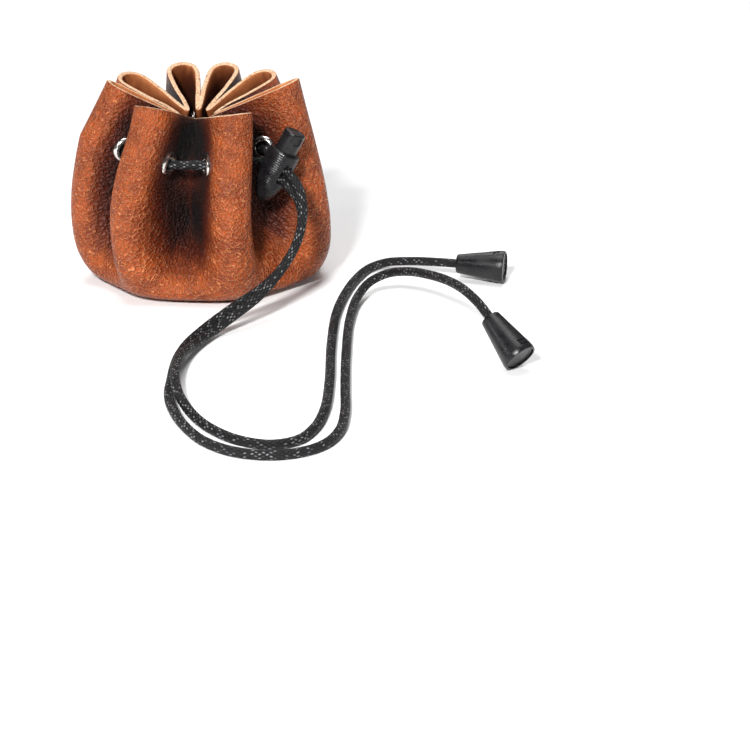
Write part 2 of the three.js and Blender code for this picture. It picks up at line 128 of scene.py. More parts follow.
def make_object(name, vertices, faces, materials, face_materials=None):
    """A mesh object from points in millimetres."""
    mesh = bpy.data.meshes.new(name)
    mesh.from_pydata([tuple(float(c) * MM for c in v) for v in vertices], [], faces)
    for m in materials:
        mesh.materials.append(m)
    if face_materials is not None:
        mesh.polygons.foreach_set("material_index", face_materials)
    mesh.polygons.foreach_set("use_smooth", [True] * len(mesh.polygons))
    mesh.update()
    piece = bpy.data.objects.new(name, mesh)
    bpy.context.scene.collection.objects.link(piece)
    return piece


def smooth_by_angle(piece, degrees):
    """Edges sharper than this stay sharp, and the rest shade smoothly."""
    mesh = piece.data
    work = bmesh.new()
    work.from_mesh(mesh)
    bmesh.ops.recalc_face_normals(work, faces=work.faces)
    for face in work.faces:
        face.smooth = True
    for edge in work.edges:
        edge.smooth = len(edge.link_faces) == 2 and edge.calc_face_angle() < math.radians(degrees)
    work.to_mesh(mesh)
    work.free()


def apply_modifiers(piece):
    """Writes the modifiers' result into the mesh."""
    graph = bpy.context.evaluated_depsgraph_get()
    result = bpy.data.meshes.new_from_object(piece.evaluated_get(graph))
    piece.modifiers.clear()
    piece.data = result


def lathe(outline, sides):
    """Vertices and faces of a turned part around Y, from a closed outline of (radius, y)."""
    vertices, faces = [], []
    rings = []
    for radius, y in outline:
        if radius < 1e-6:
            rings.append([len(vertices)])
            vertices.append((0, y, 0))
        else:
            rings.append(list(range(len(vertices), len(vertices) + sides)))
            for k in range(sides):
                angle = 2 * math.pi * k / sides
                vertices.append((radius * math.cos(angle), y, radius * math.sin(angle)))
    for a, b in zip(rings, rings[1:] + rings[:1]):
        if len(a) == 1 and len(b) == 1:
            continue
        for k in range(sides):
            n = (k + 1) % sides
            if len(a) == 1:
                faces.append((a[0], b[n], b[k]))
            elif len(b) == 1:
                faces.append((a[k], a[n], b[0]))
            else:
                faces.append((a[k], a[n], b[n], b[k]))
    return vertices, faces


def placed(origin, axis, sideways=None):
    """The matrix, in millimetres, that puts a piece made around Y at a place."""
    y = axis.normalized()
    guide = sideways or (Vector((0, 0, 1)) if abs(y.z) < 0.9 else Vector((1, 0, 0)))
    x = (guide - y * guide.dot(y)).normalized()
    z = x.cross(y)
    pose = Matrix((x, y, z)).transposed().to_4x4()
    pose.translation = origin
    return pose


def put(piece, pose):
    """Moves the mesh of a piece by a matrix that is in millimetres."""
    moved = pose.copy()
    moved.translation = moved.translation * MM
    piece.data.transform(moved)
    piece.data.update()


def cut(piece, cutter):
    """Takes the cutter's shape out of the piece and removes the cutter."""
    modifier = piece.modifiers.new("cut", "BOOLEAN")
    modifier.operation = "DIFFERENCE"
    modifier.solver = "EXACT"
    modifier.object = cutter
    apply_modifiers(piece)
    bpy.data.objects.remove(cutter)


def block(name, low, high, material, rounding):
    """A box between two corners in millimetres, with rounded edges."""
    work = bmesh.new()
    bmesh.ops.create_cube(work, size=1)
    for v in work.verts:
        v.co = [(low[i] + high[i]) / 2 + v.co[i] * (high[i] - low[i]) for i in range(3)]
    bmesh.ops.bevel(
        work, geom=work.edges[:], offset=rounding, segments=4, profile=0.5, affect="EDGES"
    )
    for v in work.verts:
        v.co *= MM
    mesh = bpy.data.meshes.new(name)
    work.to_mesh(mesh)
    work.free()
    mesh.materials.append(material)
    piece = bpy.data.objects.new(name, mesh)
    bpy.context.scene.collection.objects.link(piece)
    return piece


# ---- material helpers ------------------------------------------------------------------


class Shader:
    """A material whose Principled shader is fed by a few nodes."""

    def __init__(self, name):
        self.material = bpy.data.materials.new(name)
        self.material.use_nodes = True
        self.nodes = self.material.node_tree.nodes
        self.links = self.material.node_tree.links
        self.surface = self.nodes["Principled BSDF"]

    def node(self, kind, **settings):
        made = self.nodes.new(kind)
        for key, value in settings.items():
            setattr(made, key, value)
        return made

    def feed(self, socket, value):
        """Links a socket to another, or sets its value."""
        if isinstance(value, bpy.types.NodeSocket):
            self.links.new(value, socket)
        else:
            socket.default_value = value

    def set(self, name, value):
        self.feed(self.surface.inputs[name], value)

    def math(self, operation, *values):
        made = self.node("ShaderNodeMath", operation=operation)
        for socket, value in zip(made.inputs, values):
            self.feed(socket, value)
        return made.outputs[0]

    def noise(self, vector, scale, detail=2.0, roughness=0.5, distortion=0.0):
        made = self.node("ShaderNodeTexNoise")
        self.feed(made.inputs["Vector"], vector)
        made.inputs["Scale"].default_value = scale
        made.inputs["Detail"].default_value = detail
        made.inputs["Roughness"].default_value = roughness
        made.inputs["Distortion"].default_value = distortion
        return made.outputs["Fac"]

    def cells(self, vector, scale, feature):
        made = self.node("ShaderNodeTexVoronoi", feature=feature)
        self.feed(made.inputs["Vector"], vector)
        made.inputs["Scale"].default_value = scale
        return made.outputs["Distance"]

    def span(self, value, low, high, to_low=0.0, to_high=1.0):
        made = self.node("ShaderNodeMapRange", interpolation_type="SMOOTHSTEP")
        for socket, v in zip(made.inputs, (value, low, high, to_low, to_high)):
            self.feed(socket, v)
        return made.outputs[0]

    def blend(self, factor, first, second):
        made = self.node("ShaderNodeMix", data_type="RGBA")
        self.feed(made.inputs["Factor"], factor)
        self.feed(made.inputs["A"], first)
        self.feed(made.inputs["B"], second)
        return made.outputs["Result"]

    def bump(self, height, distance, strength):
        made = self.node("ShaderNodeBump")
        made.inputs["Strength"].default_value = strength
        made.inputs["Distance"].default_value = distance
        self.feed(made.inputs["Height"], height)
        return made.outputs["Normal"]

    def place(self):
        return self.node("ShaderNodeTexCoord").outputs["Object"]

    def flat(self):
        return self.node("ShaderNodeTexCoord").outputs["UV"]

    def nudged(self, vector, amount, scale):
        """The vector, pushed about by noise, for cells that aren't too regular."""
        made = self.node("ShaderNodeTexNoise")
        self.feed(made.inputs["Vector"], vector)
        made.inputs["Scale"].default_value = scale
        made.inputs["Detail"].default_value = 2.0
        push = self.node("ShaderNodeVectorMath", operation="SCALE")
        self.feed(push.inputs[0], made.outputs["Color"])
        push.inputs["Scale"].default_value = amount
        total = self.node("ShaderNodeVectorMath", operation="ADD")
        self.feed(total.inputs[0], vector)
        self.feed(total.inputs[1], push.outputs[0])
        return total.outputs[0]


def colour(r, g, b):
    return (r, g, b, 1.0)


def grain_leather():
    """Tan leather with a pebbled, glossy face, with painted highlights along the ridge lines and
    painted shade where the folds close over it.
    """
    s = Shader("tan_grain_leather")
    flat = s.flat()
    wobble = s.nudged(flat, 0.0014, 420.0)
    edge = s.cells(wobble, 640.0, "DISTANCE_TO_EDGE")
    dish = s.cells(wobble, 640.0, "F1")
    broken = s.span(s.noise(flat, 800.0, 2.0), 0.36, 0.6, 0.3, 1.0)
    ridge = s.math("MULTIPLY", s.span(edge, 0.0, 0.15, 1.0, 0.0), broken)
    height = s.math("ADD", ridge, s.math("MULTIPLY", dish, 0.8))
    height = s.math("ADD", height, s.math("MULTIPLY", s.noise(flat, 2400.0, 3.0), 0.3))
    patch = s.noise(flat, 110.0, 5.0, 0.65)
    shade = s.blend(s.span(patch, 0.34, 0.68), colour(0.17, 0.024, 0.002), colour(0.36, 0.062, 0.006))
    # Painted highlight: the broken ridge lines between the pebbles are coloured lighter, as glints.
    # The same ridges are also raised in the bump.
    with_painted_glints = s.blend(ridge, shade, colour(0.66, 0.21, 0.075))
    # Painted shade: the openness baked from the leather's own folds darkens the face, down to near
    # black deep in the folds.
    opened = s.node("ShaderNodeAttribute", attribute_name="openness").outputs["Fac"]
    painted_half_shade = s.blend(s.span(opened, 0.5, 0.88), colour(0.08, 0.01, 0.002), with_painted_glints)
    s.set("Base Color", s.blend(s.span(opened, 0.28, 0.6), colour(0.004, 0.0007, 0.0003), painted_half_shade))
    gloss = s.span(ridge, 0.0, 1.0, 0.45, 0.2)
    s.set("Roughness", s.math("MAXIMUM", gloss, s.span(opened, 0.35, 0.8, 0.55, 0.28)))
    s.set("Normal", s.bump(height, 0.0007, 1.0))
    s.surface.inputs["Specular IOR Level"].default_value = 0.35
    return s.material


def suede():
    """The flesh side of the leather: soft, peach-coloured, mottled, and with painted shade deep down
    in the folds.
    """
    s = Shader("peach_suede")
    flat = s.flat()
    nap = s.noise(flat, 2200.0, 4.0, 0.7)
    mottle = s.noise(flat, 260.0, 6.0, 0.7)
    base = s.blend(s.span(mottle, 0.32, 0.68), colour(0.46, 0.11, 0.028), colour(0.76, 0.27, 0.09))
    lit = s.blend(s.span(nap, 0.35, 0.75), base, colour(0.9, 0.42, 0.18))
    # Painted shade: the openness darkens the suede deep inside the folds, down to near black.
    opened = s.node("ShaderNodeAttribute", attribute_name="openness").outputs["Fac"]
    painted_deep_shade = s.blend(s.span(opened, 0.08, 0.45), colour(0.05, 0.01, 0.003), colour(0.3, 0.075, 0.022))
    s.set("Base Color", s.blend(s.span(opened, 0.2, 0.62), painted_deep_shade, lit))
    s.set("Normal", s.bump(s.math("ADD", nap, mottle), 0.0006, 1.0))
    s.surface.inputs["Roughness"].default_value = 0.95
    s.surface.inputs["Specular IOR Level"].default_value = 0.15
    return s.material


def raw_edge():
    """The cut edge: pale fibres with brown specks."""
    s = Shader("raw_leather_edge")
    place = s.place()
    fibres = s.noise(place, 1500.0, 5.0, 0.75)
    specks = s.noise(place, 620.0, 3.0, 0.6)
    base = s.blend(s.span(fibres, 0.35, 0.65), colour(0.52, 0.25, 0.11), colour(0.94, 0.68, 0.46))
    s.set("Base Color", s.blend(s.span(specks, 0.6, 0.72), base, colour(0.22, 0.06, 0.02)))
    s.set("Normal", s.bump(fibres, 0.0008, 1.0))
    s.surface.inputs["Roughness"].default_value = 0.9
    return s.material


def nickel():
    """Polished nickel plate with a few faint scuffs."""
    s = Shader("polished_nickel")
    place = s.place()
    scuffs = s.noise(place, 900.0, 5.0, 0.7, 0.6)
    s.set("Roughness", s.span(scuffs, 0.35, 0.8, 0.14, 0.34))
    tarnish = s.span(s.noise(place, 260.0, 3.0), 0.35, 0.75)
    s.set("Base Color", s.blend(tarnish, colour(0.72, 0.7, 0.67), colour(0.55, 0.52, 0.48)))
    s.set("Normal", s.bump(scuffs, 0.00004, 0.5))
    s.surface.inputs["Metallic"].default_value = 1.0
    return s.material


def black_plastic():
    """Moulded black plastic with a fine spark-eroded texture."""
    s = Shader("black_moulded_plastic")
    place = s.place()
    texture = s.noise(place, 2600.0, 3.0, 0.6)
    wear = s.noise(place, 180.0, 4.0, 0.6)
    rubbed = s.span(wear, 0.35, 0.75)
    s.set("Base Color", s.blend(rubbed, colour(0.005, 0.005, 0.006), colour(0.013, 0.013, 0.014)))
    s.set("Roughness", s.span(wear, 0.3, 0.75, 0.24, 0.36))
    s.set("Normal", s.bump(texture, 0.00012, 0.6))
    s.surface.inputs["Specular IOR Level"].default_value = 0.35
    return s.material


def spring_steel():
    s = Shader("spring_steel")
    drawn = s.noise(s.place(), 3000.0, 3.0)
    s.set("Roughness", s.span(drawn, 0.3, 0.7, 0.25, 0.45))
    s.set("Base Color", s.blend(drawn, colour(0.45, 0.45, 0.46), colour(0.6, 0.6, 0.6)))
    s.surface.inputs["Metallic"].default_value = 1.0
    return s.material


STRANDS = 8  # strands of the braid that run each way round the cord
PICK = 2.4  # the length along the cord of one crossing of the braid


def braid():
    """Black round braid: two sets of strands that go over and under each other, with painted shade
    between the strands and painted glints on the crowns of some.
    """
    s = Shader("black_braid")
    parts = s.node("ShaderNodeSeparateXYZ")
    s.feed(parts.inputs[0], s.flat())
    around = s.math("MULTIPLY", parts.outputs["X"], float(STRANDS))
    along = s.math("MULTIPLY", parts.outputs["Y"], 1.0 / (PICK * MM))
    left = s.math("ADD", around, along)
    right = s.math("SUBTRACT", around, along)
    across_left = s.math("FRACT", left)
    across_right = s.math("FRACT", right)
    checks = s.math("ADD", s.math("FLOOR", left), s.math("FLOOR", right))
    over = s.math("MODULO", s.math("ABSOLUTE", checks), 2.0)

    def strand(across, crossing):
        """The height of a strand that rounds off to its sides, and less to its ends."""
        crowns = [s.math("SINE", s.math("MULTIPLY", v, math.pi)) for v in (across, crossing)]
        return s.math("MULTIPLY", s.math("POWER", crowns[0], 0.6), s.math("POWER", crowns[1], 0.25))

    first = strand(across_left, across_right)
    second = strand(across_right, across_left)
    pick = s.node("ShaderNodeMix", data_type="FLOAT")
    s.feed(pick.inputs["Factor"], over)
    s.feed(pick.inputs["A"], first)
    s.feed(pick.inputs["B"], second)
    height = pick.outputs["Result"]
    cell = s.node("ShaderNodeCombineXYZ")
    s.feed(cell.inputs["X"], s.math("FLOOR", left))
    s.feed(cell.inputs["Y"], s.math("FLOOR", right))
    chance = s.node("ShaderNodeTexWhiteNoise", noise_dimensions="3D")
    s.feed(chance.inputs["Vector"], cell.outputs[0])
    # Painted glints: light spots on the crowns of some strands, which are also made a little
    # glossier.
    painted_glint = s.math("MULTIPLY", s.span(height, 0.72, 1.0), s.span(chance.outputs["Value"], 0.5, 0.9))
    fibres = s.noise(s.place(), 5000.0, 2.0)
    # Painted shade: the strands are coloured darker down between their crowns.
    painted_strand_shade = s.blend(height, colour(0.0005, 0.0005, 0.0005), colour(0.005, 0.005, 0.006))
    s.set("Base Color", s.blend(painted_glint, painted_strand_shade, colour(0.19, 0.19, 0.2)))
    s.set("Roughness", s.span(painted_glint, 0.0, 1.0, 0.6, 0.4))
    total = s.math("ADD", height, s.math("MULTIPLY", fibres, 0.2))
    s.set("Normal", s.bump(total, 0.0004, 1.0))
    s.surface.inputs["Specular IOR Level"].default_value = 0.3
    return s.material


LEATHER_FACE = grain_leather()
SUEDE = suede()
RAW_EDGE = raw_edge()
NICKEL = nickel()
PLASTIC = black_plastic()
STEEL = spring_steel()
BRAID = braid()

# ---- frames shared with the solids ------------------------------------------------------

THROUGH = (LOCK_OUT - LOCK_ALONG * LOCK_OUT.dot(LOCK_ALONG)).normalized()
LOCK_POSE = placed(LOCK_CENTRE, LOCK_ALONG, THROUGH)


def in_lock(x, y, z=0):
    return LOCK_POSE @ Vector((x, y, z))


def bell_pose(bell):
    """A bell hangs on its cord with the lower edge of its wide end just over the floor."""
    azimuth, dip = math.radians(bell["azimuth"]), math.radians(bell["dip"])
    axis = Vector((
        math.cos(azimuth) * math.cos(dip), math.sin(azimuth) * math.cos(dip), -math.sin(dip)
    ))
    height = max(y * math.sin(dip) + r * math.cos(dip) for r, y in WIDE_EDGES)
    return placed(Vector((bell["x"], bell["y"], height + FLOOR_CLEARANCE)), axis)


# ---- cords -------------------------------------------------------------------------------


def smooth_route(points, step):
    """Even steps along the centripetal Catmull-Rom curve through the points."""
    points = [np.array(p, float) for p in points]
    ends = [2 * points[0] - points[1], *points, 2 * points[-1] - points[-2]]
    fine = []
    for p0, p1, p2, p3 in zip(ends, ends[1:], ends[2:], ends[3:]):
        d0, d1, d2 = (math.sqrt(np.linalg.norm(b - a)) for a, b in ((p0, p1), (p1, p2), (p2, p3)))
        start = ((p1 - p0) / d0 - (p2 - p0) / (d0 + d1) + (p2 - p1) / d1) * d1
        finish = ((p2 - p1) / d1 - (p3 - p1) / (d1 + d2) + (p3 - p2) / d2) * d1
        for t in np.arange(0, 1, 1 / 24):
            fine.append(
                (2 * t**3 - 3 * t**2 + 1) * p1 + (t**3 - 2 * t**2 + t) * start
                + (3 * t**2 - 2 * t**3) * p2 + (t**3 - t**2) * finish
            )
    fine.append(points[-1])
    fine = np.array(fine)
    travelled = np.concatenate([[0], np.cumsum(np.linalg.norm(np.diff(fine, axis=0), axis=1))])
    count = max(2, round(travelled[-1] / step))
    even = np.linspace(0, travelled[-1], count + 1)
    return np.stack([np.interp(even, travelled, fine[:, i]) for i in range(3)], axis=1)


def tube(name, points, radius, material, step, sides):
    """A tube along a route, with how far round and along it each point is as UV."""
    path = smooth_route(points, step)
    vertices, faces, uvs = [], [], []
    tangent = np.gradient(path, axis=0)
    tangent /= np.linalg.norm(tangent, axis=1)[:, None]
    side = np.cross(tangent[0], (0.3, 0.2, 1.0))
    travelled = 0.0
    for i, (p, t) in enumerate(zip(path, tangent)):
        side = side - t * side.dot(t)
        side /= np.linalg.norm(side)
        up = np.cross(t, side)
        if i:
            travelled += np.linalg.norm(p - path[i - 1])
        for k in range(sides):
            angle = 2 * math.pi * k / sides
            vertices.append(p + radius * (math.cos(angle) * side + math.sin(angle) * up))
        uvs.append(travelled * MM)
    face_uvs = []
    for i in range(len(path) - 1):
        for k in range(sides):
            n = (k + 1) % sides
            a, b = i * sides, (i + 1) * sides
            faces.append((a + k, a + n, b + n, b + k))
            u0, u1 = k / sides, (k + 1) / sides
            face_uvs += [(u0, uvs[i]), (u1, uvs[i]), (u1, uvs[i + 1]), (u0, uvs[i + 1])]
    last = (len(path) - 1) * sides
    faces.append(tuple(reversed(range(sides))))
    faces.append(tuple(range(last, last + sides)))
    face_uvs += [(0.5, 0)] * (2 * sides)
    piece = make_object(name, vertices, faces, [material])
    layer = piece.data.uv_layers.new(name="UVMap")
    layer.data.foreach_set("uv", np.array(face_uvs, np.float32).ravel())
    return piece, path


def cord_tube(name, points, step=0.8, sides=20):
    return tube(name, points, CORD / 2, BRAID, step, sides)


KNOT_SQUAT = 0.85  # the knot's height as a share of its width
CORD_END = KNOT_PLACE - KNOT_SQUAT * KNOT - GAP
TAILS = ((1, CORD_SPLIT, TAIL_1, BELL_1), (2, -CORD_SPLIT, TAIL_2, BELL_2))
tails = {}
for number, split, route, bell in TAILS:
    pose = bell_pose(bell)
    start = [in_lock(x, split) for x in (GAP / 2, 6, 11)]
    end = [pose @ Vector((0, y, 0)) for y in (-6, -1, CORD_END)]
    tail, path = cord_tube(f"tail_{number}", [*start, *map(Vector, route), *end])
    tails[number] = {"cord": tail, "path": path, "pose": pose, "exit": in_lock(6, split)}

# ---- leather -----------------------------------------------------------------------------

DISC_RADIUS = 125
LEATHER = 2
EYELET_CIRCLE = 103
DISC_START = math.radians(-22.5)
FOLDS = [  # azimuth and lean in degrees, reach, height, and two factors of the next valley's
    # radius: one at the cord, one halfway up the bag
    (-17, -2, 42, 82, 1, 0.92), (42, 0, 38, 76, 1, 1), (74, 0, 37, 76.5, 1, 1),
    (103, 0, 37, 76.5, 1, 1), (146, 0, 38, 76, 1, 0.92), (200, -2, 35.5, 81, 1, 0.76),
    (245, -9, 40, 77.5, 1, 0.56), (296, -7, 44, 75.5, 0.92, 0.85),
]
NECK_SHIFT = -1.9
LEFT_SIDE = 0.965
TIP_LINE = [
    (0, 0, 1), (19, 19, 1), (38, 37.6, 1), (48, 47, 4), (59, 52.4, 12.8), (70, 53.8, 24),
    (82, 52.8, 36.5), (93, 50.4, 47.8), (103, 47.8, 57.5), (114, 45, 68), (125, 42.6, 78),
]
VALLEY_LINE = [
    (0, 0, 1), (19, 19, 1), (38, 37, 1), (48, 45.6, 4.6), (59, 43.4, 14.6), (70, 35.4, 25.2),
    (82, 28.2, 35), (93, 22.6, 43), (103, 17, 50), (114, 11.6, 57), (125, 7.6, 65),
]
STATIONS = [(0, 0, 0), (0.12, 6.4, 6.2), (0.5, 5.9, 5.4), (0.78, 5.2, 3.4), (1, None, None)]
EYELET_STATION = 2
NARROW_FOLD = 18
FOLDED_FROM = 44
LEAN_FROM = 75
HALFWAY_FROM, HALFWAY_FULL = 48, 72
TURNED_FROM, TURNED_BY = 15, 70
SPANS = 2 * (len(STATIONS) - 1)


def on_line(line, s):
    """Radius and height at a distance s from the disc's centre."""
    i = 0
    while i < len(line) - 2 and s > line[i + 1][0]:
        i += 1
    a, b = line[i], line[i + 1]
    span = b[0] - a[0]
    t = (s - a[0]) / span
    found = []
    for column in (1, 2):
        def slope(start, end):
            return (end[column] - start[column]) / (end[0] - start[0]) * span
        before = slope(line[i - 1], b) if i > 0 else b[column] - a[column]
        after = slope(a, line[i + 2]) if i < len(line) - 2 else b[column] - a[column]
        found.append(
            (2 * t**3 - 3 * t**2 + 1) * a[column] + (t**3 - 2 * t**2 + t) * before
            + (3 * t**2 - 2 * t**3) * b[column] + (t**3 - t**2) * after
        )
    return found


def mix(a, b, t):
    return a + (b - a) * t


def smoothstep(value, low, high):
    t = min(1, max(0, (value - low) / (high - low)))
    return t * t * (3 - 2 * t)


ring_cache = {}


def gathered_ring(s):
    """The points of the closed curve that the disc's circle of radius s turns into."""
    key = round(s, 5)
    if key in ring_cache:
        return ring_cache[key]
    folded = smoothstep(s, FOLDED_FROM, EYELET_CIRCLE)
    towards_rim = min(1, max(0, (s - EYELET_CIRCLE) / (DISC_RADIUS - EYELET_CIRCLE)))
    risen = smoothstep(s, LEAN_FROM, DISC_RADIUS)
    settled = smoothstep(s, TURNED_FROM, TURNED_BY)
    halfway = smoothstep(s, HALFWAY_FROM, HALFWAY_FULL) * (
        1 - smoothstep(s, HALFWAY_FULL, EYELET_CIRCLE)
    )
    azimuths = [azimuth + lean * (1 - risen) for azimuth, lean, *_ in FOLDS]
    tip_radius, tip_height = on_line(TIP_LINE, s)
    valley_radius, valley_height = on_line(VALLEY_LINE, s)
    rim = TIP_LINE[-1]
    points = []
    for i, (_, _, fold_reach, fold_height, *_) in enumerate(FOLDS):
        azimuth = azimuths[i]
        reach = tip_radius + (fold_reach - rim[1]) * folded * towards_rim
        height = tip_height * mix(1, fold_height / rim[2], folded)
        for k in range(-len(STATIONS) + 2, len(STATIONS)):
            side = (k > 0) - (k < 0)
            *_, cord_factor, half_factor = FOLDS[i - 1] if side < 0 else FOLDS[i]
            inner = valley_radius * mix(1, cord_factor, folded * (1 - towards_rim))
            inner *= mix(1, half_factor, halfway)
            inward, at_cord, at_rim = STATIONS[abs(k)]
            turn = azimuth - azimuths[i - 1] if side < 0 else azimuths[(i + 1) % 8] - azimuth
            half_angle = (turn % 360) / 2
            disc_angle = math.degrees(DISC_START) + 45 * (i + k / SPANS)
            in_place = azimuth + side * half_angle * abs(k) / (len(STATIONS) - 1)
            drift = (in_place - disc_angle + 180) % 360 - 180
            turned = math.radians(disc_angle + drift * settled)
            wave = (1 - math.cos(math.pi * k / (len(STATIONS) - 1))) / 2
            radius = mix(tip_radius, inner, wave)
            smooth = np.array((
                radius * math.cos(turned), radius * math.sin(turned),
                max(LEATHER / 2, mix(height, valley_height, wave)),
            ))
            if at_cord is None:
                at = math.radians(azimuth + side * half_angle)
                folding = np.array((inner * math.cos(at), inner * math.sin(at), valley_height))
            else:
                middle = math.radians(azimuth)
                across = side * min(1, half_angle / NARROW_FOLD) * mix(at_cord, at_rim, towards_rim)
                along = mix(reach, inner * math.cos(math.radians(half_angle)), inward)
                folding = np.array((
                    along * math.cos(middle) - across * math.sin(middle),
                    along * math.sin(middle) + across * math.cos(middle),
                    mix(height, valley_height, inward),
                ))
            point = mix(smooth, folding, folded)
            point[0] += NECK_SHIFT * folded
            if point[0] < 0:
                point[0] *= LEFT_SIDE
            points.append(point)
    ring_cache[key] = np.array(points)
    return ring_cache[key]


def gather(s, angles):
    """Where points of the disc at radius s and some angles lie in the gathered bag."""
    ring = gathered_ring(s)
    first = DISC_START - (len(STATIONS) - 2) / SPANS * math.pi / 4
    place = (np.asarray(angles, float) - first) / (2 * math.pi) % 1.0 * len(ring)
    i = np.floor(place).astype(int)
    t = (place - i)[:, None]
    p0, p1, p2, p3 = (ring[(i + k) % len(ring)] for k in (-1, 0, 1, 2))
    m1, m2 = (p2 - p0) / 2, (p3 - p1) / 2
    return (
        (2 * t**3 - 3 * t**2 + 1) * p1 + (t**3 - 2 * t**2 + t) * m1
        + (3 * t**2 - 2 * t**3) * p2 + (t**3 - t**2) * m2
    )


def into_bag(s, angles):
    """The leather's directions into the bag, square to the sheet."""
    angles = np.asarray(angles, float)
    if s < 20:
        return np.tile((0.0, 0.0, 1.0), (len(angles), 1))
    step = 0.5
    along = gather(min(s + step, DISC_RADIUS), angles) - gather(s - step, angles)
    around = gather(s, angles + step / s) - gather(s, angles - step / s)
    normal = np.cross(along, around)
    return normal / np.linalg.norm(normal, axis=1)[:, None]


eyelets = []
for fold in range(8):
    for side in (-1, 1):
        angle = DISC_START + math.pi / 4 * (fold + side * EYELET_STATION / SPANS)
        eyelets.append({
            "angle": angle,
            "place": Vector(gather(EYELET_CIRCLE, [angle])[0]),
            "axis": -Vector(into_bag(EYELET_CIRCLE, [angle])[0]),
        })

COLUMNS = 400
ROWS = [0, 3, 6, 10, 15, 20, 25, 30, 34, *np.arange(37, 124.6, 1.25), 124.75]
ANGLES = np.arange(COLUMNS) * 2 * math.pi / COLUMNS
LAYER_POINTS = (len(ROWS) - 1) * COLUMNS + 1
EDGE_OFFSET = 0.86  # how far out the last row is, as a share of half the leather's thickness
RIM_LINES = (-0.45, 0.45)  # the two lines of the cut edge, as shares of the same
CUT_ROUGHNESS = 0.35
HOLE = 3.4  # radius of the hole punched for an eyelet
HOLE_CENTRES = np.array([
    (EYELET_CIRCLE * math.cos(e["angle"]), EYELET_CIRCLE * math.sin(e["angle"])) for e in eyelets
])
RAYS = 40
RAY_LENGTH = 70
RAY_START = 0.3
GRAIN, FLESH, CUT = 0, 1, 2  # places of the three materials on the leather


def openness(surface, facing, tree):
    """How much of the room in front of each point the leather leaves open, from 0 to 1, for the
    painted shade in the folds.
    """
    rows = sorted({*range(1, len(surface), 2), len(surface) - 1})
    columns = surface.shape[1]
    spread = [
        (math.sqrt((i + 0.5) / RAYS), i * math.pi * (3 - math.sqrt(5))) for i in range(RAYS)
    ]
    found = np.zeros((len(rows), columns // 2))
    for n, r in enumerate(rows):
        for m in range(columns // 2):
            out = Vector(facing[r, 2 * m])
            start = Vector(surface[r, 2 * m]) + out * RAY_START
            side = out.cross((0.02, 0.01, 1)).normalized()
            up = out.cross(side)
            for reach, turn in spread:
                ray = side * (reach * math.cos(turn)) + up * (reach * math.sin(turn))
                ray += out * math.sqrt(1 - reach * reach)
                if tree.ray_cast(start, ray, RAY_LENGTH)[0] is None:
                    found[n, m] += 1 / RAYS
    around = np.concatenate([found, found[:, :1]], axis=1)
    across = np.stack([np.interp(np.arange(columns) / 2, range(columns // 2 + 1), a) for a in around])
    return np.stack([
        np.interp(range(len(surface)), rows, across[:, c]) for c in range(columns)
    ], axis=1)


def sheet_grid():
    """The middle of the leather, as places, directions into the bag, and places on the disc."""
    surface = np.zeros((len(ROWS), COLUMNS, 3))
    inward = np.zeros_like(surface)
    flat = np.zeros((len(ROWS), COLUMNS, 2))
    for r, s in enumerate(ROWS):
        surface[r] = gather(s, ANGLES)
        inward[r] = into_bag(s, ANGLES)
        flat[r] = np.stack([s * np.cos(ANGLES), s * np.sin(ANGLES)], axis=1)
    return surface, inward, flat


def punch_holes(surface, inward, flat):
    """Moves the points on the edge of each hole onto its circle, and says which squares stay."""
    middles = (flat[:-1] + flat[1:] + np.roll(flat, -1, 1)[:-1] + np.roll(flat, -1, 1)[1:]) / 4
    kept = np.linalg.norm(middles[:, :, None] - HOLE_CENTRES, axis=3).min(axis=2) > HOLE
    for r in range(1, len(ROWS)):
        near = [kept[q] if q < len(kept) else np.ones(COLUMNS, bool) for q in (r - 1, r)]
        around = np.stack([near[0], np.roll(near[0], 1), near[1], np.roll(near[1], 1)])
        for c in np.nonzero(around.any(0) & ~around.all(0))[0]:
            centre = HOLE_CENTRES[np.linalg.norm(HOLE_CENTRES - flat[r, c], axis=1).argmin()]
            push = flat[r, c] - centre
            point = centre + push / np.linalg.norm(push) * HOLE
            s, angle = float(np.hypot(*point)), math.atan2(point[1], point[0])
            surface[r, c] = gather(s, [angle])[0]
            inward[r, c] = into_bag(s, [angle])[0]
            flat[r, c] = point
    return kept


def sheet_tree(surface):
    """The middle of the leather, for rays to meet."""
    squares = [
        (r * COLUMNS + c, r * COLUMNS + (c + 1) % COLUMNS,
         (r + 1) * COLUMNS + (c + 1) % COLUMNS, (r + 1) * COLUMNS + c)
        for r in range(1, len(ROWS) - 1) for c in range(COLUMNS)
    ]
    return BVHTree.FromPolygons([tuple(v) for v in surface.reshape(-1, 3)], squares)


def leather_points(surface, inward, flat):
    """Points of the outer layer, the inner layer and the cut edge, with UV and openness."""
    points, uvs, opened = [], [], []
    tree = sheet_tree(surface)
    half = LEATHER / 2
    for side in (-1, 1):
        shares = openness(surface + inward * side * half, inward * side, tree)
        for r in range(1, len(ROWS)):
            offset = side * half * (EDGE_OFFSET if r == len(ROWS) - 1 else 1)
            points.extend(surface[r] + inward[r] * offset)
            uvs.extend(flat[r])
            opened.extend(shares[r])
        points.append(surface[0, 0] + inward[0, 0] * side * half)
        uvs.append((0.0, 0.0))
        opened.append(1.0)
    rim_inward = into_bag(DISC_RADIUS, ANGLES)
    for share in RIM_LINES:
        for c, angle in enumerate(ANGLES):
            place = Vector((math.cos(angle), math.sin(angle), share)) * 60
            cut_at = DISC_RADIUS - CUT_ROUGHNESS * abs(noise.noise(place))
            points.append(gather(cut_at, [angle])[0] + rim_inward[c] * share * half)
        uvs.extend(flat[-1] * (DISC_RADIUS / ROWS[-1]))
        opened.extend([1.0] * COLUMNS)
    return points, uvs, opened


